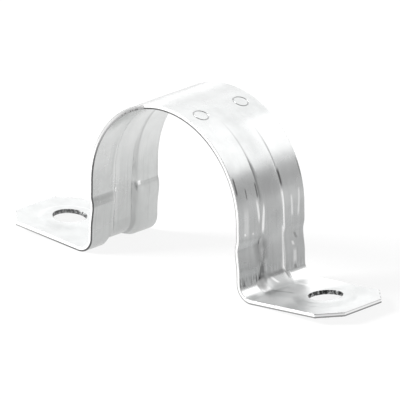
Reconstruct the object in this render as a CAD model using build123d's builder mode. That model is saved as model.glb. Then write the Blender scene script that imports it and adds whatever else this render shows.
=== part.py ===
from build123d import *

import math
import os

# A two-hole omega clamp: one strip of sheet steel, pressed and folded over a pipe.
# X runs from foot to foot, Y along the pipe and Z up, away from the wall.
# The origin lies under the middle of the clamp, level with the underside of its heels.

# Driving dimensions, in millimetres and degrees
pipe_diameter = 38.1  # a shade under a thin-wall conduit of 1 1/4 in trade size, so it grips
strap_width = 19.0
sheet_thickness = 0.9

pipe_height = 15.3  # pipe axis above the heels
leg_lean = 1.0  # how far the legs spread below the arch
bend_radius = 2.6  # on the side of the bend that a finger can reach
foot_length = 21.0  # from the end of the bend to the toe
foot_tilt = 4.4  # the toes stand up until the screws pull them down
toe_chamfer = 4.2  # both ways from each corner of the toe
toe_corner_radius = 0.8

screw_hole_diameter = 6.7
screw_hole_setback = 9.8  # from the toe to the middle of the hole
pad_diameter = 13.0  # foot of the raised pad round each hole
pad_height = 0.45
pad_flank = 1.5  # how far the pad's side slopes in

# The stiffening rib stands out of both legs and runs over the bend to the pad
rib_mouth_width = 7.3  # across the groove at the pipe side
rib_crest_width = 5.1
rib_rise_arch = 0.33  # above the flats, level with the pipe axis, and nothing at the crown
rib_rise_leg = 0.58  # above the flats, at the bend
rib_bend_radius = 3.2
rib_end_to_hole = 2.0  # the rib ends inside the pad, this far before the hole's middle

# A low ridge is pressed in across the flats of each leg, so the clamp snaps over its pipe
ridge_top_height = 12.3
ridge_height = 10.1
ridge_foot_height = 6.4
ridge_depth = 0.4

# Two ring marks are stamped in the crown, one each side of the rib's line
ring_diameter = 3.3
ring_line_width = 0.3
ring_depth = 0.08
ring_spacing = 11.4
ring_angle = 18.8  # from the crown towards the right foot

pipe_radius = pipe_diameter / 2
arch_radius = pipe_radius + sheet_thickness
half_width = strap_width / 2
pad_radius = pad_diameter / 2
pad_slope = math.atan2(pad_height, pad_flank)
hollow_radius = pad_radius - sheet_thickness * math.tan(pad_slope / 2)  # at the mouth, under a pad


def arch_point(angle, radius):
    """A point at an angle above the horizontal, on a circle about the pipe's axis."""
    turn = math.radians(angle)
    return Vector(radius * math.cos(turn), pipe_height + radius * math.sin(turn))


def foot_direction():
    """The way along the right foot, from the bend to the toe."""
    return Vector(1, 0).rotate(Axis.Z, foot_tilt)


def foot_normal():
    """The way straight up from the right foot's top."""
    return Vector(0, 1).rotate(Axis.Z, foot_tilt)


def leg_offset(height, rise):
    """How far a leg's pipe side stands from the pipe's radius, at a height above the heels."""
    drop = pipe_height - height
    spread = drop * math.tan(math.radians(leg_lean))
    rib_growth = (rib_rise_leg - rib_rise_arch) * drop / pipe_height
    return spread + rise * (rib_rise_arch + rib_growth)


def leg_point(height, depth, rise, ridge=0.0):
    """A point of a leg at a depth into the sheet, where rise is 0 on the flats and 1 on the rib."""
    reach = pipe_radius + depth + leg_offset(height, rise) - ridge * (1 - rise)
    return Vector(reach, height)


def foot_origin(depth, rise):
    """A point of the foot's line below the bend's centre, at a depth into the sheet."""
    bend_reach = bend_radius + sheet_thickness
    centre = leg_point(bend_reach, 0, 0) + Vector(bend_reach, 0)
    return centre - foot_normal() * (bend_reach - depth - rise * pad_height)


def half_line(depth, rise, side):
    """Draws one half of the sheet's line, from the crown to its end in the pad, at a depth into it."""
    crown = Vector(0, pipe_height + pipe_radius + depth)
    corner_radius = bend_radius + rise * (rib_bend_radius - bend_radius) + sheet_thickness - depth
    spring = leg_point(pipe_height, depth, rise)
    ridge_top = leg_point(ridge_top_height, depth, rise)
    ridge_crest = leg_point(ridge_height, depth, rise, ridge_depth)
    ridge_foot = leg_point(ridge_foot_height, depth, rise)

    leg_way = ridge_foot - ridge_top
    leg_axis = Axis(ridge_foot, leg_way)
    start = foot_origin(depth, rise)
    corner = leg_axis.intersect(Axis(start, foot_direction()))
    end = start + foot_direction() * (foot_length - screw_hole_setback - rib_end_to_hole)

    def place(point):
        return (side * point.X, point.Y)

    TangentArc(place(crown), place(spring), tangent=(side, 0))
    Line(place(spring), place(ridge_top))
    Spline(
        place(ridge_top),
        place(ridge_crest),
        place(ridge_foot),
        tangents=(place(leg_way), place(leg_way)),
    )
    FilletPolyline(place(ridge_foot), place(corner), place(end), radius=corner_radius)
    return place(end)


def sheet_section(distance, rise):
    """The sheet's section from pad to pad, on a plane at a distance from the middle."""
    with BuildSketch(Plane.XZ.offset(distance), mode=Mode.PRIVATE) as section:
        with BuildLine():
            for side in (1, -1):
                pipe_side_end = half_line(0, rise, side)
                outer_end = half_line(sheet_thickness, rise, side)
                Line(pipe_side_end, outer_end)
        make_face()
    return section.sketch


def foot_plane(side):
    """The plane on top of a foot at its screw hole: X runs to the toe and Z up out of the foot."""
    place = foot_origin(sheet_thickness, 0) + foot_direction() * (foot_length - screw_hole_setback)
    along = foot_direction()
    return Plane(
        origin=(side * place.X, 0, place.Y),
        x_dir=(side * along.X, 0, along.Y),
        z_dir=(-side * along.Y, 0, along.X),
    )


with BuildPart() as omega_clamp:
    # The flats on both sides, and between them the two flanks and the crest of the rib
    for side in (1, -1):
        flat_edge = sheet_section(side * rib_mouth_width / 2, 0)
        crest_edge = sheet_section(side * rib_crest_width / 2, 1)
        extrude(flat_edge, amount=half_width - rib_mouth_width / 2, dir=(0, -side, 0))
        loft([flat_edge, crest_edge], ruled=True)
    extrude(sheet_section(0, 1), amount=rib_crest_width / 2, both=True)

    # The toes, with their cut corners
    for side in (1, -1):
        with BuildSketch(foot_plane(side)) as toe:
            with Locations((-rib_end_to_hole, 0)):
                Rectangle(
                    screw_hole_setback + rib_end_to_hole,
                    strap_width,
                    align=(Align.MIN, Align.CENTER),
                )
            chamfer(toe.vertices().group_by(Axis.X)[-1], toe_chamfer)
            fillet(toe.vertices().filter_by_position(Axis.X, 0, screw_hole_setback), toe_corner_radius)
        extrude(amount=-sheet_thickness)

    # A raised pad round each screw hole, hollow below, and the hole through it
    for side in (1, -1):
        with Locations(foot_plane(side)):
            Cone(
                pad_radius,
                pad_radius - pad_flank,
                pad_height,
                align=(Align.CENTER, Align.CENTER, Align.MIN),
            )
        with Locations(foot_plane(side).offset(-sheet_thickness)):
            Cone(
                hollow_radius,
                hollow_radius - pad_flank,
                pad_height,
                align=(Align.CENTER, Align.CENTER, Align.MIN),
                mode=Mode.SUBTRACT,
            )
        with Locations(foot_plane(side)):
            Hole(screw_hole_diameter / 2)

    # The ring marks, pressed in square to the arch
    mark = arch_point(90 - ring_angle, arch_radius)
    for side in (1, -1):
        mark_plane = Plane(
            origin=(mark.X, side * ring_spacing / 2, mark.Y),
            x_dir=(0, 1, 0),
            z_dir=(mark.X, 0, mark.Y - pipe_height),
        )
        with BuildSketch(mark_plane):
            Circle(ring_diameter / 2)
            Circle(ring_diameter / 2 - ring_line_width, mode=Mode.SUBTRACT)
        extrude(amount=-ring_depth, both=True, mode=Mode.SUBTRACT)

omega_clamp.part.label = "omega_clamp"
os.makedirs("parts", exist_ok=True)
export_step(omega_clamp.part, "parts/omega_clamp.step")
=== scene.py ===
"""An omega clamp of zinc-plated sheet steel, folded from one blank, on a plain studio floor.

The blank is drawn flat in millimetres. Its X runs along the strip from the crown, with the right
foot positive, its Y across the strip, with the near side negative, and its Z through the sheet.
"""

import math

import bmesh
import bpy
from mathutils import Matrix, Vector


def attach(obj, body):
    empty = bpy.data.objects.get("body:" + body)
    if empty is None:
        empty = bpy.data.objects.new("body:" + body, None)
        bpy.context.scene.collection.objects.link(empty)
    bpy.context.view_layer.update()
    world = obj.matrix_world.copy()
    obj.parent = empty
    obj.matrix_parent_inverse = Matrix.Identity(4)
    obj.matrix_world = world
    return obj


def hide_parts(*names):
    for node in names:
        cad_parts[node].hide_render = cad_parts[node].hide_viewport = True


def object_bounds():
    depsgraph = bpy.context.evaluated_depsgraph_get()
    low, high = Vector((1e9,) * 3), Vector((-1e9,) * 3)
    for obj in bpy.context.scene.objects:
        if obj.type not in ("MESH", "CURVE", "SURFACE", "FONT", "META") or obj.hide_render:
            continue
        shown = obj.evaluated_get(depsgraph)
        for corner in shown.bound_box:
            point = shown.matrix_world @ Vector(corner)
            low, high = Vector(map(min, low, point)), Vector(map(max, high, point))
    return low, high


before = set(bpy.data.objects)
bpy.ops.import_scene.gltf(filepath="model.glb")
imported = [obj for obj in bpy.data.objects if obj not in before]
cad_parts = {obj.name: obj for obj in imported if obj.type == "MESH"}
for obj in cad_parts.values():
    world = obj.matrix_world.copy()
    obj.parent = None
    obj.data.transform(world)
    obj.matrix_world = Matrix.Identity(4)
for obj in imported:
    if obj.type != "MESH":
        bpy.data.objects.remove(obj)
cad_low, cad_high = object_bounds()

bl_info = {
    "name": "Omega clamp",
    "version": (1, 0, 0),
    "blender": (4, 5, 0),
    "location": "3D View > Sidebar > Clamp",
    "description": "Folds an omega clamp from a sheet steel blank and sets it on a studio floor",
    "category": "Object",
}

MM = 0.001  # the blank is drawn in millimetres, and folding brings it to metres
CLAMP_NODE = "omega_clamp"
CAD_SIZE = cad_high - cad_low

CELL_ALONG, CELL_ACROSS = 0.45, 0.2  # largest cells of the blank's grid
DISC_MARGIN = 0.45  # of blank round a stamped disc that is filled anew
HOLE_SEGMENTS, RING_SEGMENTS = 96, 48
LEVEL = 0.99  # from here up, a depth or the height of a normal counts as full
SHARP_FOLD = math.radians(35.0)  # edges that turn further than this aren't smoothed
BLANK_SCALE = 0.01  # units of the blank's map per millimetre

# Painted shade and painted highlights on the strip's outer side. Each has its start and its end
# along the strip, its place across it at the start and at the end, its half width and its taper
# at both ends, all in millimetres, and its strength.
PAINTED_SHADE_STROKES = (
    # Soft shade on the crown, on the rib's crest and on the lower part of the leg
    (-18.0, 6.5, 1.0, 1.0, 30.0, 7.0, 0.25),
    (-3.0, 13.0, 1.0, 1.0, 14.0, 4.5, 0.07),
    (18.5, 33.0, -0.2, -0.2, 3.4, 3.0, 0.13),
    (35.5, 43.6, 0.0, 0.0, 30.0, 2.5, 0.13),
    # Painted shade lines along the rib's flanks
    (5.5, 31.0, -3.05, -2.95, 0.22, 9.0, 0.2),
    (12.5, 23.0, 3.05, 3.1, 0.4, 6.0, 0.5),
    (21.6, 26.2, 3.2, 3.3, 0.6, 1.4, 1.0),
    (23.0, 26.5, -3.55, -3.6, 0.26, 0.8, 0.8),
    # Painted shade lines and spots on the flats
    (21.0, 25.6, 9.3, 9.35, 0.35, 1.2, 0.5),
    (20.8, 24.9, -8.85, -9.0, 0.3, 0.9, 0.85),
    (23.5, 26.3, -6.5, -6.58, 0.22, 0.8, 0.65),
    (35.6, 37.6, 6.6, 7.5, 0.45, 0.7, 0.5),
    (42.2, 43.5, 6.5, 6.7, 0.5, 0.4, 0.5),
    # Painted shade: the rib's near flank above the bend, its crest in the bend, its edge on the
    # foot
    (34.4, 40.8, -3.4, -3.1, 2.3, 1.8, 0.36),
    (42.4, 47.0, 0.1, 0.1, 3.4, 1.4, 0.42),
    (45.6, 53.2, -3.1, -2.2, 0.32, 1.6, 0.4),
)
PAINTED_HIGHLIGHT_STROKES = (
    # Soft light on the arch, the bend and the foot
    (5.0, 20.5, -7.0, -7.0, 6.5, 4.0, 0.1),
    (10.0, 20.6, 6.4, 6.4, 7.0, 2.2, 0.2),
    (19.5, 31.0, 2.5, 2.5, 12.0, 3.5, 0.09),
    (43.0, 50.0, 7.4, 7.4, 5.2, 1.2, 0.4),
    (43.2, 48.0, -8.0, -8.0, 5.0, 1.2, 0.35),
    (45.8, 50.5, 2.7, 2.7, 4.6, 1.8, 0.42),
    (45.5, 57.0, 0.0, 0.0, 30.0, 3.5, 0.34),
    # Painted highlight lines along the rib's flanks, from the arch down into the bend
    (25.6, 35.8, 3.1, 3.3, 0.6, 1.6, 1.0),
    (33.2, 43.8, 3.1, 2.95, 0.9, 0.8, 1.0),
    (43.0, 46.4, 3.6, 4.9, 0.8, 0.7, 0.6),
    (27.0, 34.2, -2.42, -2.76, 0.23, 1.6, 0.9),
    (25.8, 31.8, -4.05, -3.6, 0.4, 2.0, 0.7),
    (36.5, 43.0, -2.75, -2.4, 0.4, 1.0, 0.3),
    (43.0, 46.8, -3.7, -3.6, 1.0, 0.8, 0.85),
    (43.6, 45.6, -1.5, -0.1, 0.45, 0.5, 0.7),
    # Painted highlight streaks and spots on the far flat
    (27.4, 32.6, 5.75, 5.85, 0.34, 1.2, 0.5),
    (26.4, 33.0, 8.1, 7.55, 0.36, 1.4, 0.45),
    (37.4, 38.6, 6.0, 6.4, 0.4, 0.4, 0.6),
    (38.8, 42.4, 6.55, 6.5, 0.62, 1.2, 0.5),
    # Painted highlight streaks and spots on the near flat
    (26.6, 34.6, -7.2, -7.4, 0.9, 2.6, 0.28),
    (32.3, 33.2, -7.8, -7.6, 0.36, 0.35, 0.8),
    (32.7, 33.4, -5.5, -5.4, 0.3, 0.3, 0.5),
)

# Painted shade and painted highlights for the pipe side, on the left half
PIPE_SIDE_SHADES = (
    # Soft shade from the foot up to the leg, and in the rib's groove
    (-54.0, -34.6, 0.0, 0.0, 30.0, 2.0, 0.09),
    (-48.0, -40.8, -1.0, -1.0, 6.0, 1.6, 0.16),
    (-37.6, -32.6, 0.0, 0.0, 4.0, 1.6, 0.08),
    # Painted shade on the upper slope of the snap ridge
    (-36.2, -33.7, -8.0, -8.0, 6.6, 0.5, 0.32),
    (-37.2, -34.3, 8.0, 8.0, 4.5, 0.6, 0.08),
    (-34.6, -34.1, 7.5, 7.5, 4.2, 0.25, 0.16),
    # Painted shade along the rib's far flank
    (-32.0, -12.0, 3.45, 3.2, 0.3, 3.0, 0.2),
    (-51.0, -33.0, 2.9, 2.75, 1.0, 1.6, 0.34),
    (-35.5, -22.0, 3.0, 2.8, 0.8, 5.0, 0.2),
)
PIPE_SIDE_PAINTED_HIGHLIGHTS = (
    # Painted highlights where the snap ridge meets the rib
    (-35.2, -33.7, -2.75, -2.6, 0.75, 0.4, 1.0),
    (-34.9, -33.6, 3.95, 3.95, 0.55, 0.4, 1.0),
    # Soft light on the flats, and along the rib's near flank
    (-32.0, -10.0, 4.5, 4.5, 9.0, 7.0, 0.26),
    (-30.5, -13.0, -8.0, -8.0, 5.0, 4.0, 0.25),
    (-44.0, -14.0, -2.7, -2.2, 1.6, 5.0, 0.2),
)

FLOOR_HALF_SIDE = 3.0
FLOOR_DROP = 0.02 * MM  # below the clamp's heels, so that the two faces don't share a plane
FLOOR_GLOW = 0.87  # share of plain white in the floor, as the camera and the metal see it
LAMPS = (  # name, place in metres, size, power and whether it lights matt faces
    ("back_panel", (-0.12, 0.44, 0.68), (2.2, 1.36), 11.4, False),
    ("front_left", (-0.6, -0.5, 0.5), (0.45, 0.45), 20.0, True),
    ("left_card", (-0.75, 0.75, 0.1), (1.2, 0.4), 1.9, False),
)
SENSOR_WIDTH = 36.0  # in millimetres, as the lens is
FRAME_WIDTH = 400.0 / 5.1126 * MM  # of a picture 400 pixels wide, at 5.1126 pixels to a millimetre
AIM = (0.9, 0.0, 13.872)  # what the camera points at, in millimetres


def length(name, description, default):
    """A size in millimetres that a user may change."""
    return bpy.props.FloatProperty(name=name, description=description, default=default, min=0.0)


def angle(name, description, degrees):
    """An angle that a user may change, shown in degrees."""
    return bpy.props.FloatProperty(
        name=name, description=description, default=math.radians(degrees), subtype="ANGLE"
    )


def colour(name, description, default):
    """A colour that a user may change."""
    return bpy.props.FloatVectorProperty(
        name=name,
        description=description,
        subtype="COLOR",
        size=3,
        min=0.0,
        max=1.0,
        default=default,
    )


class ClampSheet(bpy.types.PropertyGroup):
    """Sizes of the folded sheet, in millimetres."""

    strap_width: length("Strap width", "Width of the strip", CAD_SIZE.y / MM)
    thickness: length("Sheet thickness", "Thickness of the steel", 0.9)
    pipe_radius: length("Pipe radius", "Radius of the arch at the pipe", 19.04)
    pipe_height: length("Pipe height", "Height of the pipe's axis above the heels", 15.3)
    leg_lean: angle("Leg lean", "How far the legs spread below the arch", 1.0)
    bend_radius: length("Bend radius", "Inside radius of the bend of the flats", 2.6)
    foot_length: length("Foot length", "From the end of the bend to the toe", 21.0)
    foot_tilt: angle("Foot tilt", "How far the toe stands up", 4.4)
    toe_chamfer: length("Toe chamfer", "Cut of each toe corner, both ways", 4.2)
    edge_break: length("Edge break", "Rounding along the sheared edges", 0.14)


class ClampRib(bpy.types.PropertyGroup):
    """Sizes of the pressed rib and of the snap ridges, in millimetres."""

    crown_crest: length("Crest at the crown", "Half width of the rib's crest on the crown", 2.95)
    crest: length("Rib crest", "Half width of the rib's crest on the legs", 2.55)
    flank_slope: angle("Flank slope", "How steep the rib's flanks are", 28.0)
    foot_slope: angle("Foot slope", "How steep the rib's flanks are on the foot", 13.0)
    rise_crown: length("Rise at the crown", "Height of the rib on top of the arch", 0.0)
    rise_arch: length("Rise at the arch", "Height of the rib level with the pipe's axis", 0.33)
    rise_leg: length("Rise at the leg", "Height of the rib at the bend", 0.58)
    rise_foot: length("Rise at the foot", "Height of the rib on the foot", 0.45)
    bend_radius: length("Rib bend radius", "Inside radius of the bend of the rib", 3.2)
    ridge_top: length("Ridge top", "Height at which the snap ridge begins", 12.3)
    ridge_crest: length("Ridge crest", "Height of the snap ridge's crest", 10.1)
    ridge_foot: length("Ridge foot", "Height at which the snap ridge ends", 5.5)
    ridge_depth: length("Ridge depth", "How far the snap ridge stands in", 0.4)


class ClampMarks(bpy.types.PropertyGroup):
    """Sizes of the screw holes, their pads and the ring marks, in millimetres."""

    hole_radius: length("Hole radius", "Radius of the screw holes", 3.35)
    hole_setback: length("Hole setback", "From the toe to the middle of the hole", 9.8)
    pad_radius: length("Pad radius", "Radius of the pad's foot", 6.4)
    pad_flank: length("Pad flank", "How far the pad's side slopes in", 1.5)
    pad_height: length("Pad height", "Height of the pad", 0.45)
    ring_radius: length("Ring radius", "Radius of the ring marks' line", 1.5)
    ring_line: length("Ring line", "Half width of the ring marks' line", 0.15)
    ring_depth: length("Ring depth", "Depth of the ring marks", 0.08)
    ring_spacing: length("Ring spacing", "Between the middles of the two ring marks", 11.4)
    ring_angle: angle("Ring angle", "From the crown to the ring marks", 18.8)


class ClampFinish(bpy.types.PropertyGroup):
    """Colours and gloss of the zinc plate."""

    zinc_colour: colour("Zinc colour", "Colour of the plated faces", (0.485, 0.492, 0.492))
    # Also the colour of the painted highlights
    cut_and_highlight_colour: colour("Cut edge colour", "Colour of the sheared edges", (0.92, 0.92, 0.92))
    # Painted lighter than the outer side, for the brighter reflections that the pipe side gets
    pipe_side_lit_colour: colour(
        "Pipe side colour", "Colour of the plate where it faces the pipe", (0.62, 0.63, 0.625)
    )
    # Also the colour of the painted shade, and of the cracks and chips
    painted_shade_and_wear_colour: colour(
        "Shade and wear colour",
        "Colour of the dark line along a sheared edge and in the holes",
        (0.12, 0.12, 0.12),
    )
    roughness: bpy.props.FloatProperty(
        name="Roughness",
        description="Roughness of the plated faces",
        default=0.26,
        min=0.0,
        max=1.0,
        subtype="FACTOR",
    )


class ClampStudio(bpy.types.PropertyGroup):
    """The camera and the room round the clamp."""

    camera_azimuth: angle("Camera azimuth", "Angle of the camera round the clamp", 42.66)
    camera_elevation: angle("Camera elevation", "Angle of the camera above the floor", 19.46)
    lens: bpy.props.FloatProperty(
        name="Lens", description="Focal length", default=1200.0, unit="CAMERA"
    )
    back_wall: colour("Back wall", "Colour of the room behind the clamp", (0.72, 0.72, 0.72))
    front_wall: colour("Front wall", "Colour of the room behind the camera", (0.3, 0.3, 0.3))


def smooth_step(value):
    """From 0 to 1 with level ends."""
    value = max(0.0, min(1.0, value))
    return value * value * (3.0 - 2.0 * value)


class FoldedLine:
    """The neutral line of one half of the sheet, seen along the pipe.

    A lift of 0 gives the line of the flats, and a lift of 1 that of the rib's crest.
    """

    def __init__(self, sheet, rib, lift):
        half_sheet = sheet.thickness / 2
        self.neutral = sheet.pipe_radius + half_sheet

        # The arch, from the crown to the spring, which is level with the pipe's axis
        self.spring = Vector((self.neutral + lift * rib.rise_arch, sheet.pipe_height))
        crown = self.neutral + lift * rib.rise_crown
        self.arch_radius = (self.spring.x**2 + crown**2) / (2 * crown)
        self.arch_centre = sheet.pipe_height + crown - self.arch_radius
        sunk = (sheet.pipe_height - self.arch_centre) / self.arch_radius
        self.arch_turn = math.pi / 2 - math.asin(sunk)

        # The foot, which tilts about the middle of the flats' bend
        lean = math.tan(sheet.leg_lean)
        reach = sheet.bend_radius + sheet.thickness
        middle = sheet.pipe_radius + (sheet.pipe_height - reach) * lean + reach
        self.along = Vector((math.cos(sheet.foot_tilt), math.sin(sheet.foot_tilt)))
        self.normal = Vector((-self.along.y, self.along.x))
        self.foot_line = Vector((middle, reach)) - self.normal * (reach - half_sheet)
        self.foot_start = self.foot_line + self.normal * lift * rib.rise_foot

        # The leg and the bend, which join the spring to the foot
        growth = lift * (rib.rise_leg - rib.rise_arch) / sheet.pipe_height
        down = Vector((lean + growth, -1.0)).normalized()
        self.radius = sheet.bend_radius + lift * (rib.bend_radius - sheet.bend_radius) + half_sheet
        across = self.foot_start - self.spring
        cross = down.x * self.along.y - down.y * self.along.x
        corner_way = (across.x * self.along.y - across.y * self.along.x) / cross
        corner = self.spring + down * corner_way
        self.turn = math.acos(max(-1.0, min(1.0, down.dot(self.along))))
        tangent = self.radius * math.tan(self.turn / 2)
        self.bend_start = corner - down * tangent
        self.bend_centre = self.bend_start + Vector((-down.y, down.x)) * self.radius
        bend_end = corner + self.along * tangent
        self.start_distance = (bend_end - self.foot_start).dot(self.along)

    def arch(self, share):
        """A point of the arch, from 0 at the crown to 1 at the spring."""
        turn = share * self.arch_turn
        height = self.arch_centre + self.arch_radius * math.cos(turn)
        return Vector((self.arch_radius * math.sin(turn), height))

    def leg(self, share):
        """A point of the leg, from 0 at the spring to 1 at the bend."""
        return self.spring.lerp(self.bend_start, share)

    def bend(self, share):
        """A point of the bend, from 0 at the leg to 1 at the foot."""
        turn = share * self.turn
        spoke = self.bend_start - self.bend_centre
        cosine, sine = math.cos(turn), math.sin(turn)
        turned = Vector((spoke.x * cosine - spoke.y * sine, spoke.x * sine + spoke.y * cosine))
        return self.bend_centre + turned


class Fold:
    """Carries a point of the flat blank to its place in the folded clamp."""

    blend_length = 3.0  # of foot over which the rib's bend and the flats' bend come together
    spread_lead = 0.4  # before the bend, where the rib's flanks begin to spread
    spread_length = 2.0  # of strip over which they spread
    least_flank = 0.25  # so that the rib keeps a flank where it has no height
    straight, rounded = 0.55, 0.45  # shares of a flank's profile
    rib_setback = 2.0  # from the hole's middle to the rib's end
    rib_fade = 3.0  # of foot over which the rib sinks into the pad
    probe = 0.02  # how far to each side of a point the surface's slope is taken
    skin = 1e-4  # how near to the outer face a point counts as on it

    def __init__(self, sheet, rib, marks):
        self.sheet, self.rib, self.marks = sheet, rib, marks
        self.flat = FoldedLine(sheet, rib, 0.0)
        self.crest = FoldedLine(sheet, rib, 1.0)
        self.arch_end = self.flat.neutral * math.pi / 2
        self.leg_end = self.arch_end + (self.flat.bend_start - self.flat.spring).length
        self.bend_end = self.leg_end + self.flat.radius * self.flat.turn
        self.foot_zero = self.bend_end - self.flat.start_distance
        self.toe = self.foot_zero + sheet.foot_length
        self.hole = self.toe - marks.hole_setback
        self.ring = self.flat.neutral * marks.ring_angle

    def rib_weight(self, run, across):
        """1 on the rib's crest, 0 on the flats, and between them a flank with rounded ends."""
        rib = self.rib
        growth = min(1.0, run / self.arch_end) ** 2
        crest = rib.crown_crest + growth * (rib.crest - rib.crown_crest)
        spread = smooth_step((run - self.leg_end + self.spread_lead) / self.spread_length)
        slope = rib.flank_slope + spread * (rib.foot_slope - rib.flank_slope)
        flank = max(self.least_flank, self.rib_rise(run) / math.tan(slope))
        share = max(0.0, min(1.0, (crest + flank - abs(across)) / flank))
        return self.straight * share + self.rounded * smooth_step(share)

    def rib_rise(self, run):
        """How high the rib's crest stands above the flats."""
        rib = self.rib
        if run < self.arch_end:
            share = math.sin(run / self.flat.neutral)
            return rib.rise_crown + (rib.rise_arch - rib.rise_crown) * share * share
        if run < self.leg_end:
            share = (run - self.arch_end) / (self.leg_end - self.arch_end)
            return rib.rise_arch + (rib.rise_leg - rib.rise_arch) * share
        share = min(1.0, (run - self.leg_end) / (self.bend_end - self.leg_end))
        return rib.rise_leg + (rib.rise_foot - rib.rise_leg) * share

    def foot_rise(self, run, across):
        """How high a point of the foot is pressed up, from 0 on the flats to 1 on the pad."""
        distance = math.hypot(run - self.hole, across)
        pad = smooth_step((self.marks.pad_radius - distance) / self.marks.pad_flank)
        fade = smooth_step((self.hole - self.rib_setback - run) / self.rib_fade)
        share = self.rib_weight(run, across) * fade * self.rib.rise_foot / self.marks.pad_height
        return 1.0 - (1.0 - pad) * (1.0 - share)

    def ridge(self, height):
        """How far the snap ridge stands in at a height above the heels."""
        rib = self.rib
        above, below = rib.ridge_top - rib.ridge_crest, rib.ridge_crest - rib.ridge_foot
        span = above if height > rib.ridge_crest else below
        return rib.ridge_depth * (1.0 - smooth_step(abs(height - rib.ridge_crest) / span))

    def foot(self, run, across, weight):
        """A point of the foot, seen along the pipe."""
        flat, crest = self.flat, self.crest
        distance = run - self.foot_zero
        blended = flat.start_distance + self.blend_length
        if distance >= blended:
            point = flat.foot_line + flat.along * distance
            return point + flat.normal * (self.marks.pad_height * self.foot_rise(run, across))
        share = (distance - flat.start_distance) / self.blend_length
        low = flat.foot_start + flat.along * distance
        crest_distance = crest.start_distance * (1.0 - share) + blended * share
        high = crest.foot_start + flat.along * crest_distance
        return low.lerp(high, weight)

    def neutral(self, run, across):
        """The place of a point of the sheet's neutral surface, in millimetres."""
        side = 1.0 if run >= 0.0 else -1.0
        run = abs(run)
        weight = self.rib_weight(run, across)
        flat, crest = self.flat, self.crest
        if run <= self.arch_end:
            share = run / self.arch_end
            point = flat.arch(share).lerp(crest.arch(share), weight)
        elif run <= self.leg_end:
            share = (run - self.arch_end) / (self.leg_end - self.arch_end)
            point = flat.leg(share).lerp(crest.leg(share), weight)
            point.x -= self.ridge(point.y) * (1.0 - weight)
        elif run <= self.bend_end:
            share = (run - self.leg_end) / (self.bend_end - self.leg_end)
            point = flat.bend(share).lerp(crest.bend(share), weight)
        else:
            point = self.foot(run, across, weight)
        return Vector((side * point.x, across, point.y))

    def ring_mark(self, run, across):
        """How deep the ring marks are at a point of the outer face."""
        marks = self.marks
        distance = math.hypot(run - self.ring, abs(across) - marks.ring_spacing / 2)
        off_line = abs(distance - marks.ring_radius) / marks.ring_line
        return marks.ring_depth * smooth_step(2.0 * (1.0 - off_line))

    def place(self, run, across, depth):
        """The place in metres of a point of the blank at a depth from its neutral surface."""
        step = self.probe
        point = self.neutral(run, across)
        way = self.neutral(run + step, across) - self.neutral(run - step, across)
        width = self.neutral(run, across + step) - self.neutral(run, across - step)
        outward = way.cross(width).normalized()
        if depth > self.sheet.thickness / 2 - self.skin:
            depth -= self.ring_mark(run, across)
        return (point + outward * depth) * MM


def pad_radii(marks):
    """The rings of faces that shape a pad, from the flat round it to its screw hole."""
    foot, shoulder = marks.pad_radius, marks.pad_radius - marks.pad_flank
    radii = [foot + 0.5, foot + 0.25, foot + 0.05]
    radii += [foot - marks.pad_flank * share for share in (0.12, 0.24, 0.37, 0.5, 0.63, 0.76, 0.88)]
    radii += [shoulder - 0.05, shoulder - 0.4]
    radii += [marks.hole_radius + 0.6, marks.hole_radius + 0.3, marks.hole_radius]
    return radii


def ring_radii(marks):
    """The rings of faces that shape a ring mark, from the flat round it to near its middle."""
    ring, line = marks.ring_radius, marks.ring_line
    radii = [ring + line + 0.2, ring + line, ring + line / 2, ring - line / 2, ring - line]
    return radii + [ring - line - 0.2, 0.7, 0.35]


def stamp_disc(mesh, centre, radii, segments, keep_open):
    """Puts a disc of rings into the flat blank, so that round features have round edges."""
    half_side = radii[0] + DISC_MARGIN
    inside = [
        face
        for face in mesh.faces
        if abs(face.calc_center_median().x - centre[0]) < half_side
        and abs(face.calc_center_median().y - centre[1]) < half_side
    ]
    # Each edge once, in the order of the faces
    edges = dict.fromkeys(edge for face in inside for edge in face.edges)
    taken = set(inside)
    outline = [edge for edge in edges if sum(face in taken for face in edge.link_faces) == 1]
    bmesh.ops.delete(mesh, geom=inside, context="FACES_KEEP_BOUNDARY")
    outline = [edge for edge in outline if edge.is_valid]
    made = bmesh.ops.create_circle(
        mesh,
        cap_ends=False,
        radius=radii[0],
        segments=segments,
        matrix=Matrix.Translation((centre[0], centre[1], 0.0)),
    )
    ring = list(dict.fromkeys(edge for vertex in made["verts"] for edge in vertex.link_edges))
    bmesh.ops.triangle_fill(mesh, use_beauty=True, use_dissolve=False, edges=outline + ring)
    for outer, inner in zip(radii, radii[1:]):
        grown = bmesh.ops.extrude_edge_only(mesh, edges=ring)["geom"]
        vertices = [item for item in grown if isinstance(item, bmesh.types.BMVert)]
        edges = [item for item in grown if isinstance(item, bmesh.types.BMEdge)]
        ring = [edge for edge in edges if edge.verts[0] in vertices and edge.verts[1] in vertices]
        bmesh.ops.scale(
            mesh,
            verts=vertices,
            vec=(inner / outer, inner / outer, 1.0),
            space=Matrix.Translation((-centre[0], -centre[1], 0.0)),
        )
    if not keep_open:
        bmesh.ops.contextual_create(mesh, geom=ring)


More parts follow.
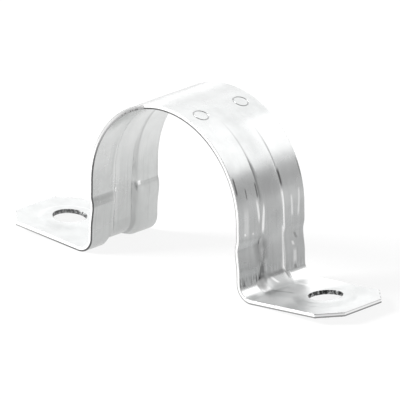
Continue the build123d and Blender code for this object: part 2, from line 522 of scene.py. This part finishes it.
def clamp_blank(sheet, marks, fold):
    """The flat blank as a plate with its toes cut, its holes open and its discs stamped in."""
    mesh = bmesh.new()
    columns = 2 * math.ceil(fold.toe / CELL_ALONG)
    rows = 2 * math.ceil(sheet.strap_width / 2 / CELL_ACROSS)
    bmesh.ops.create_grid(mesh, x_segments=columns, y_segments=rows, size=1.0)
    bmesh.ops.scale(mesh, verts=mesh.verts, vec=(fold.toe, sheet.strap_width / 2, 1.0))

    cut = fold.toe + sheet.strap_width / 2 - sheet.toe_chamfer
    for side in (1, -1):
        for edge in (1, -1):
            bmesh.ops.bisect_plane(
                mesh,
                geom=mesh.verts[:] + mesh.edges[:] + mesh.faces[:],
                dist=1e-4,
                plane_co=(side * cut, 0.0, 0.0),
                plane_no=(side, edge, 0.0),
                clear_outer=True,
            )
    for side in (1, -1):
        stamp_disc(mesh, (side * fold.hole, 0.0), pad_radii(marks), HOLE_SEGMENTS, True)
    for side in (1, -1):
        middle = (fold.ring, side * marks.ring_spacing / 2)
        stamp_disc(mesh, middle, ring_radii(marks), RING_SEGMENTS, False)

    bmesh.ops.recalc_face_normals(mesh, faces=mesh.faces)
    if mesh.faces[0].normal.z > 0:
        bmesh.ops.reverse_faces(mesh, faces=mesh.faces)
    grown = bmesh.ops.extrude_face_region(mesh, geom=mesh.faces[:], use_keep_orig=True)["geom"]
    upper = [item for item in grown if isinstance(item, bmesh.types.BMVert)]
    bmesh.ops.translate(mesh, verts=upper, vec=(0.0, 0.0, sheet.thickness))
    bmesh.ops.translate(mesh, verts=mesh.verts, vec=(0.0, 0.0, -sheet.thickness / 2))
    bmesh.ops.recalc_face_normals(mesh, faces=mesh.faces)
    return mesh


def soften_rims(mesh, offset):
    """Breaks the sheared edges along the outline and round the holes."""
    mesh.normal_update()
    rims = [
        edge
        for edge in mesh.edges
        if len(edge.link_faces) == 2
        and sorted(abs(face.normal.z) > 0.5 for face in edge.link_faces) == [False, True]
    ]
    bmesh.ops.bevel(
        mesh,
        geom=rims,
        offset=offset,
        offset_type="OFFSET",
        segments=2,
        profile=0.5,
        affect="EDGES",
        clamp_overlap=False,
        material=-1,
    )


def mark_blank(mesh, marks, fold):
    """Lays the map of the flat blank on its faces, and tells cut edges and hole walls apart."""
    flat_map = mesh.loops.layers.uv.new("Blank")
    cut_edge = mesh.faces.layers.float.new("cut_edge")
    hole_wall = mesh.faces.layers.float.new("hole_wall")
    depth = mesh.verts.layers.float.new("depth")
    stamped = mesh.verts.layers.float.new("stamped")
    mesh.normal_update()
    for vertex in mesh.verts:
        vertex[depth] = vertex.co.z / (fold.sheet.thickness / 2)
        if vertex[depth] > LEVEL:
            vertex[stamped] = fold.ring_mark(vertex.co.x, vertex.co.y) / marks.ring_depth
    for face in mesh.faces:
        face.smooth = True
        for loop in face.loops:
            loop[flat_map].uv = loop.vert.co.xy * BLANK_SCALE
        if abs(face.normal.z) < LEVEL:
            centre = face.calc_center_median()
            from_hole = math.hypot(abs(centre.x) - fold.hole, centre.y)
            face[hole_wall if from_hole < marks.hole_radius + 0.2 else cut_edge] = 1.0


class NodeTree:
    """Adds and links the nodes of a material, a group or the world."""

    def __init__(self, owner):
        self.nodes = owner.nodes
        self.links = owner.links

    def fill(self, socket, value):
        """Links an output to a socket, or sets the socket's own value."""
        if isinstance(value, bpy.types.NodeSocket):
            self.links.new(value, socket)
        elif value is not None:
            socket.default_value = value

    def coordinates(self, name):
        """The piece's own coordinates in metres, or its flat blank's."""
        if name == "Object":
            return self.nodes.new("ShaderNodeTexCoord").outputs["Object"]
        uv = self.nodes.new("ShaderNodeUVMap")
        uv.uv_map = name
        return uv.outputs["UV"]

    def split(self, vector):
        """The outputs X, Y and Z of a vector."""
        node = self.nodes.new("ShaderNodeSeparateXYZ")
        self.links.new(vector, node.inputs[0])
        return node.outputs

    def mask(self, name):
        """One of the mesh's own attributes."""
        node = self.nodes.new("ShaderNodeAttribute")
        node.attribute_name = name
        return node.outputs["Fac"]

    def noise(self, vector, stretch, detail=2.0, roughness=0.5, offset=(0.0, 0.0, 0.0)):
        """Noise with so many waves per metre, or per unit of the blank's map, along each axis."""
        mapping = self.nodes.new("ShaderNodeMapping")
        self.fill(mapping.inputs["Vector"], vector)
        mapping.inputs["Scale"].default_value = stretch
        mapping.inputs["Location"].default_value = offset
        node = self.nodes.new("ShaderNodeTexNoise")
        node.inputs["Scale"].default_value = 1.0
        node.inputs["Detail"].default_value = detail
        node.inputs["Roughness"].default_value = roughness
        self.links.new(mapping.outputs["Vector"], node.inputs["Vector"])
        return node.outputs["Fac"]

    def remap(self, value, low, high, to_low=0.0, to_high=1.0):
        """Eases from one value to another while the input goes from low to high."""
        node = self.nodes.new("ShaderNodeMapRange")
        node.interpolation_type = "SMOOTHSTEP"
        names = ("Value", "From Min", "From Max", "To Min", "To Max")
        for name, amount in zip(names, (value, low, high, to_low, to_high)):
            self.fill(node.inputs[name], amount)
        return node.outputs["Result"]

    def math(self, operation, first, second=None, third=None):
        """One step of arithmetic."""
        node = self.nodes.new("ShaderNodeMath")
        node.operation = operation
        for socket, amount in zip(node.inputs, (first, second, third)):
            self.fill(socket, amount)
        return node.outputs["Value"]

    def times(self, first, second):
        """The product of two masks."""
        return self.math("MULTIPLY", first, second)

    def mix_colour(self, share, first, second):
        """The first colour where the share is 0, and the second where it is 1."""
        node = self.nodes.new("ShaderNodeMix")
        node.data_type = "RGBA"
        self.fill(node.inputs[0], share)
        self.fill(node.inputs[6], first)
        self.fill(node.inputs[7], second)
        return node.outputs[2]

    def strokes(self, group, run, across, strokes):
        """The strongest of several strokes at each point."""
        mask = 0.0
        for start, end, begin, finish, width, taper, strength in strokes:
            node = self.nodes.new("ShaderNodeGroup")
            node.node_tree = group
            slant = (finish - begin) / (end - start)
            values = (run, across, start, end, begin, slant, width, taper)
            for socket, value in zip(node.inputs, values):
                self.fill(socket, value)
            mask = self.math("MAXIMUM", mask, self.times(node.outputs["Mask"], strength))
        return mask

    def bump(self, height, distance, normal=None):
        """A normal tilted by a mask that stands so many metres high."""
        node = self.nodes.new("ShaderNodeBump")
        self.fill(node.inputs["Height"], height)
        node.inputs["Distance"].default_value = distance
        self.fill(node.inputs["Normal"], normal)
        return node.outputs["Normal"]


def stroke_group():
    """A node group that masks one soft stroke along the strip, in the blank's millimetres."""
    group = bpy.data.node_groups.new("Painted shading stroke", "ShaderNodeTree")
    for name in ("Run", "Across", "Start", "End", "From", "Slant", "Half width", "Taper"):
        group.interface.new_socket(name, in_out="INPUT", socket_type="NodeSocketFloat")
    group.interface.new_socket("Mask", in_out="OUTPUT", socket_type="NodeSocketFloat")
    tree = NodeTree(group)
    given = group.nodes.new("NodeGroupInput").outputs
    gone = tree.math("SUBTRACT", given["Run"], given["Start"])
    line = tree.math("MULTIPLY_ADD", gone, given["Slant"], given["From"])
    off = tree.math("ABSOLUTE", tree.math("SUBTRACT", given["Across"], line))
    full = tree.times(given["Half width"], 0.4)
    body = tree.remap(off, full, given["Half width"], 1.0, 0.0)
    begun = tree.remap(gone, 0.0, given["Taper"])
    left = tree.remap(tree.math("SUBTRACT", given["End"], given["Run"]), 0.0, given["Taper"])
    mask = tree.times(body, tree.times(begun, left))
    tree.links.new(mask, group.nodes.new("NodeGroupOutput").inputs["Mask"])
    return group


class StripPlace:
    """Where a point of the sheet lies, for the masks of its material."""

    def __init__(self, tree, fold):
        self.fold = fold
        self.metres = tree.coordinates("Object")
        self.blank = tree.coordinates("Blank")
        flat = tree.split(self.blank)
        self.run = tree.math("DIVIDE", flat["X"], BLANK_SCALE)
        self.across = tree.math("DIVIDE", flat["Y"], BLANK_SCALE)
        self.either_run = tree.math("ABSOLUTE", self.run)
        self.depth = tree.mask("depth")  # from -1 at the pipe side to 1 at the outer side
        self.outer = tree.remap(self.depth, -0.2, 0.2)
        self.inner = tree.math("SUBTRACT", 1.0, self.outer)
        self.cut = tree.mask("cut_edge")
        self.bore = tree.mask("hole_wall")


def leg_streaks(tree, at):
    """A mask of fine dark streaks along the legs."""
    fold = at.fold
    above = tree.remap(at.either_run, fold.arch_end - 9.0, fold.arch_end - 3.0)
    below = tree.remap(at.either_run, fold.leg_end - 1.0, fold.leg_end + 2.0, 1.0, 0.0)
    streak_noise = tree.remap(tree.noise(at.blank, (7.0, 170.0, 1.0)), 0.45, 0.8)
    return tree.times(streak_noise, tree.times(above, below))


def cracks(tree, at):
    """A mask of the small cracks in the plate at the bends, most of them on the near flat."""
    leg_end = at.fold.leg_end
    above = tree.remap(at.either_run, leg_end - 1.6, leg_end)
    below = tree.remap(at.either_run, leg_end + 0.6, leg_end + 1.2, 1.0, 0.0)
    broken = tree.noise(at.blank, (26.0, 230.0, 1.0), 1.0, 0.5, (0.3, 0.6, 0.0))
    broken = tree.times(tree.remap(broken, 0.46, 0.56, 0.0, 0.75), tree.times(above, below))
    return tree.times(broken, tree.remap(at.across, -3.0, -3.6, 0.2, 1.0))


def edge_shade_and_wear(tree, at):
    """A mask of painted shade along the sheared edges, with the worn part left of the crown."""
    fold = at.fold
    # The painted shade line on the pipe side, fainter on the left foot and from the right of the
    # arch on
    dark = tree.remap(at.run, -66.0, -46.0, 0.62, 1.0)
    dark = tree.times(dark, tree.remap(at.run, 8.0, 24.0, 1.0, 0.6))
    dark = tree.math("MAXIMUM", dark, tree.remap(at.run, fold.leg_end, fold.bend_end, 0.0, 0.8))
    inner_line = tree.times(tree.remap(at.depth, -0.15, -0.35), dark)

    # On the left of the arch the edge is grey and chipped, up to a nick near the crown
    worn = tree.remap(at.run, -28.0, -18.0)
    worn = tree.times(worn, tree.remap(at.run, -5.6, -5.2, 1.0, 0.0))
    greyed = tree.times(worn, tree.remap(at.run, -16.0, -9.0, 0.42, 0.68))
    chips = tree.noise(at.blank, (190.0, 3.0, 1.0), 1.0, 0.5, (0.2, 0.4, 0.0))
    chips = tree.times(tree.remap(chips, 0.53, 0.58), tree.remap(at.run, -15.0, -11.0))
    chips = tree.times(chips, tree.remap(at.depth, -0.35, 0.05, 1.0, 0.0))
    chips = tree.times(tree.times(chips, worn), 0.97)
    from_nick = tree.math("ABSOLUTE", tree.math("ADD", at.run, 5.3))
    nick = tree.remap(from_nick, 0.08, 0.2, 0.75, 0.0)

    inner_line = tree.times(inner_line, tree.math("MULTIPLY_ADD", worn, -0.35, 1.0))
    # A painted shade line on the outer side, stronger on the worn part
    outer_line = tree.remap(at.depth, 0.5, 0.7)
    outer_line = tree.times(outer_line, tree.math("MULTIPLY_ADD", worn, 0.4, 0.4))
    outer_line = tree.times(outer_line, tree.remap(at.run, -56.0, -50.0))
    mask = tree.math("MAXIMUM", inner_line, outer_line)
    for more in (greyed, nick, chips):
        mask = tree.math("MAXIMUM", mask, more)
    return tree.times(mask, at.cut)


def painted_light_and_shade(tree, at):
    """Masks of the painted highlights and of the painted shade on both sides of the sheet."""
    group = stroke_group()

    def marks(strokes, side):
        return tree.times(tree.strokes(group, at.run, at.across, strokes), side)

    light = tree.math(
        "MAXIMUM", marks(PAINTED_HIGHLIGHT_STROKES, at.outer), marks(PIPE_SIDE_PAINTED_HIGHLIGHTS, at.inner)
    )
    dark = tree.math("MAXIMUM", marks(PAINTED_SHADE_STROKES, at.outer), marks(PIPE_SIDE_SHADES, at.inner))
    return light, dark


def tint(channels, share=1.0):
    """A colour with its alpha, darkened to a share of itself."""
    return (*(channel * share for channel in channels), 1.0)


def hole_shade_colour(tree, at, finish):
    """Painted shade in the screw holes, darker on the right foot, with lighter specks of the plate.
    """
    specks = tree.noise(at.metres, (1900.0, 1900.0, 1500.0), 2.0, 0.6, (0.9, 2.2, 0.1))
    left, right = tint(finish.painted_shade_and_wear_colour), tint(finish.painted_shade_and_wear_colour, 0.3)
    wall_shade = tree.mix_colour(tree.remap(at.run, -1.0, 1.0), left, right)
    return tree.mix_colour(tree.remap(specks, 0.44, 0.66), wall_shade, tint(finish.zinc_colour, 0.9))


def plate_colour(tree, at, finish, cracked):
    """The zinc's colour with its mottle, sheared edges, painted highlights and shade, and hole
    walls.
    """
    dark, bright = tint(finish.painted_shade_and_wear_colour), tint(finish.cut_and_highlight_colour)
    mottle = tree.remap(tree.noise(at.metres, (330.0, 330.0, 330.0), 4.0, 0.6), 0.35, 0.65)
    zinc = tree.mix_colour(mottle, tint(finish.zinc_colour, 0.93), tint(finish.zinc_colour))
    lit_pipe_side = tree.mix_colour(mottle, tint(finish.pipe_side_lit_colour, 0.94), tint(finish.pipe_side_lit_colour))
    painted_highlights, painted_shade = painted_light_and_shade(tree, at)
    # The pipe side is painted lighter than the outer side, for its brighter reflections
    colour = tree.mix_colour(at.outer, lit_pipe_side, zinc)
    for mask, over in (
        (tree.times(leg_streaks(tree, at), 0.12), dark),
        (tree.times(cracked, at.outer), dark),
        (painted_highlights, bright),
        (painted_shade, dark),
        # Painted shade in the grooves of the ring marks
        (tree.times(tree.mask("stamped"), 0.45), dark),
        (at.cut, bright),
        (edge_shade_and_wear(tree, at), dark),
        (at.bore, hole_shade_colour(tree, at, finish)),
    ):
        colour = tree.mix_colour(mask, colour, over)
    return colour


def plate_roughness(tree, at, finish):
    """The plate's gloss, duller on the feet and on the sheared edges."""
    fold = at.fold
    smudge = tree.noise(at.metres, (95.0, 95.0, 95.0), 3.0, 0.55, (3.1, 0.7, 1.9))
    rough = tree.remap(smudge, 0.3, 0.7, finish.roughness - 0.04, finish.roughness + 0.04)
    on_foot = tree.remap(at.either_run, fold.leg_end + 1.0, fold.bend_end + 1.0, 0.0, 0.16)
    duller = tree.math("MAXIMUM", on_foot, tree.times(at.cut, 0.25))
    return tree.math("ADD", rough, duller)


def plate_normal(tree, at, cracked):
    """Shallow waves in the sheet, the plate's grain and the cracks at the bends."""
    waves = tree.noise(at.metres, (150.0, 150.0, 150.0), 1.0, 0.4, (1.3, 5.2, 0.4))
    grain = tree.noise(at.metres, (1900.0, 1900.0, 1900.0))
    normal = tree.bump(waves, 0.008 * MM)
    normal = tree.bump(grain, 0.001 * MM, normal)
    return tree.bump(cracked, 0.02 * MM, normal)


def zinc_material(finish, fold):
    """Bright zinc plate with a fine grain, painted highlights and shade along the strip,
    and sheared edges.
    """
    material = bpy.data.materials.new("zinc_plated_steel")
    material.use_nodes = True
    tree = NodeTree(material.node_tree)
    at = StripPlace(tree, fold)
    cracked = cracks(tree, at)
    shader = tree.nodes["Principled BSDF"]
    shader.inputs["Metallic"].default_value = 1.0
    tree.fill(shader.inputs["Base Color"], plate_colour(tree, at, finish, cracked))
    tree.fill(shader.inputs["Roughness"], plate_roughness(tree, at, finish))
    tree.fill(shader.inputs["Normal"], plate_normal(tree, at, cracked))
    return material


class CLAMP_OT_fold_clamp(bpy.types.Operator):
    """Cut the blank, press its rib, pads and ridges, and fold it into the clamp"""

    bl_idname = "clamp.fold_clamp"
    bl_label = "Fold the clamp"

    def execute(self, context):
        scene = context.scene
        sheet, rib, marks = scene.clamp_sheet, scene.clamp_rib, scene.clamp_marks
        fold = Fold(sheet, rib, marks)
        blank = clamp_blank(sheet, marks, fold)
        soften_rims(blank, sheet.edge_break)
        mark_blank(blank, marks, fold)
        for vertex in blank.verts:
            vertex.co = fold.place(*vertex.co)
        bmesh.ops.recalc_face_normals(blank, faces=blank.faces)
        for edge in blank.edges:
            edge.smooth = edge.calc_face_angle(0.0) < SHARP_FOLD
        mesh = bpy.data.meshes.new("folded_clamp")
        blank.to_mesh(mesh)
        blank.free()
        clamp = bpy.data.objects.new("folded_clamp", mesh)
        scene.collection.objects.link(clamp)
        mesh.materials.append(zinc_material(scene.clamp_finish, fold))
        weighted = clamp.modifiers.new("Even shading", "WEIGHTED_NORMAL")
        weighted.keep_sharp = True
        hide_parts(CLAMP_NODE)
        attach(clamp, "root")
        return {"FINISHED"}


def paper_material():
    """White paper that takes shadows, and that the camera and the metal see as near to white."""
    material = bpy.data.materials.new("studio_paper")
    material.use_nodes = True
    tree = NodeTree(material.node_tree)
    shader = tree.nodes["Principled BSDF"]
    grain = tree.noise(tree.coordinates("Object"), (400.0, 400.0, 400.0), 3.0)
    pale, paler = (0.89, 0.89, 0.89, 1.0), (0.91, 0.91, 0.91, 1.0)
    tree.fill(shader.inputs["Base Color"], tree.mix_colour(grain, pale, paler))
    shader.inputs["Roughness"].default_value = 1.0
    shader.inputs["Specular IOR Level"].default_value = 0.0

    glow = tree.nodes.new("ShaderNodeEmission")
    glow.inputs["Strength"].default_value = 1.0
    path = tree.nodes.new("ShaderNodeLightPath").outputs
    through = tree.math("MAXIMUM", path["Is Glossy Ray"], path["Is Transmission Ray"])
    seen = tree.math("MAXIMUM", path["Is Camera Ray"], through)
    mix = tree.nodes.new("ShaderNodeMixShader")
    tree.fill(mix.inputs[0], tree.times(seen, FLOOR_GLOW))
    tree.links.new(shader.outputs[0], mix.inputs[1])
    tree.links.new(glow.outputs[0], mix.inputs[2])
    tree.links.new(mix.outputs[0], tree.nodes["Material Output"].inputs["Surface"])
    return material


def lay_floor(scene):
    """A sheet of paper under the clamp."""
    mesh = bpy.data.meshes.new("studio_floor")
    grid = bmesh.new()
    bmesh.ops.create_grid(grid, x_segments=1, y_segments=1, size=FLOOR_HALF_SIDE)
    bmesh.ops.translate(grid, verts=grid.verts, vec=(0.0, 0.0, cad_low.z - FLOOR_DROP))
    grid.to_mesh(mesh)
    grid.free()
    mesh.materials.append(paper_material())
    floor = bpy.data.objects.new("studio_floor", mesh)
    scene.collection.objects.link(floor)


def build_room(scene, studio):
    """A room that is pale behind the clamp and dark behind the camera, for the metal to mirror."""
    world = bpy.data.worlds.new("studio_room")
    scene.world = world
    world.use_nodes = True
    room = NodeTree(world.node_tree)
    direction = room.nodes.new("ShaderNodeTexCoord").outputs["Generated"]
    toward_back = room.remap(room.split(direction)["Y"], -0.4, 0.5)
    wall = room.mix_colour(toward_back, tint(studio.front_wall), tint(studio.back_wall))
    room.fill(room.nodes["Background"].inputs["Color"], wall)


def hang_lamps(scene):
    """The lamps, each turned towards the clamp."""
    for name, place, size, power, lights_matt in LAMPS:
        lamp = bpy.data.lights.new(name, "AREA")
        lamp.shape = "RECTANGLE"
        lamp.size, lamp.size_y = size
        lamp.energy = power
        holder = bpy.data.objects.new(name, lamp)
        holder.location = place
        holder.visible_diffuse = lights_matt
        holder.rotation_euler = (-Vector(place)).to_track_quat("-Z", "Y").to_euler()
        scene.collection.objects.link(holder)


def set_camera(scene, studio):
    """A camera far off with a long lens, so that parallel lines stay parallel."""
    lens = bpy.data.cameras.new("photo_camera")
    lens.lens = studio.lens
    lens.sensor_width = SENSOR_WIDTH
    distance = FRAME_WIDTH * lens.lens / lens.sensor_width
    azimuth, elevation = studio.camera_azimuth, studio.camera_elevation
    back = Vector(
        (
            math.sin(azimuth) * math.cos(elevation),
            -math.cos(azimuth) * math.cos(elevation),
            math.sin(elevation),
        )
    )
    camera = bpy.data.objects.new("photo_camera", lens)
    camera.location = Vector(AIM) * MM + back * distance
    camera.rotation_euler = (-back).to_track_quat("-Z", "Y").to_euler()
    lens.clip_start = distance * 0.1
    lens.clip_end = distance * 10.0
    scene.collection.objects.link(camera)
    scene.camera = camera


class CLAMP_OT_set_stage(bpy.types.Operator):
    """Set the floor, the room, the lamps and the camera"""

    bl_idname = "clamp.set_stage"
    bl_label = "Set the stage"

    def execute(self, context):
        scene = context.scene
        lay_floor(scene)
        build_room(scene, scene.clamp_studio)
        hang_lamps(scene)
        set_camera(scene, scene.clamp_studio)
        scene.view_settings.view_transform = "Standard"
        return {"FINISHED"}


class CLAMP_PT_sidebar(bpy.types.Panel):
    """Buttons and sizes of the omega clamp"""

    bl_label = "Omega clamp"
    bl_idname = "CLAMP_PT_sidebar"
    bl_space_type = "VIEW_3D"
    bl_region_type = "UI"
    bl_category = "Clamp"

    def draw(self, context):
        self.layout.operator(CLAMP_OT_fold_clamp.bl_idname)
        self.layout.operator(CLAMP_OT_set_stage.bl_idname)
        for name, group in GROUPS.items():
            box = self.layout.box()
            box.label(text=name.replace("_", " ").capitalize())
            for value in group.__annotations__:
                box.prop(getattr(context.scene, name), value)


GROUPS = {
    "clamp_sheet": ClampSheet,
    "clamp_rib": ClampRib,
    "clamp_marks": ClampMarks,
    "clamp_finish": ClampFinish,
    "clamp_studio": ClampStudio,
}
CLASSES = (*GROUPS.values(), CLAMP_OT_fold_clamp, CLAMP_OT_set_stage, CLAMP_PT_sidebar)


def register():
    for part in CLASSES:
        bpy.utils.register_class(part)
    for name, group in GROUPS.items():
        setattr(bpy.types.Scene, name, bpy.props.PointerProperty(type=group))


def unregister():
    for name in GROUPS:
        delattr(bpy.types.Scene, name)
    for part in reversed(CLASSES):
        bpy.utils.unregister_class(part)


def main():
    """Makes the clamp and its stage."""
    register()
    bpy.ops.clamp.fold_clamp()
    bpy.ops.clamp.set_stage()


if __name__ == "__main__":
    main()
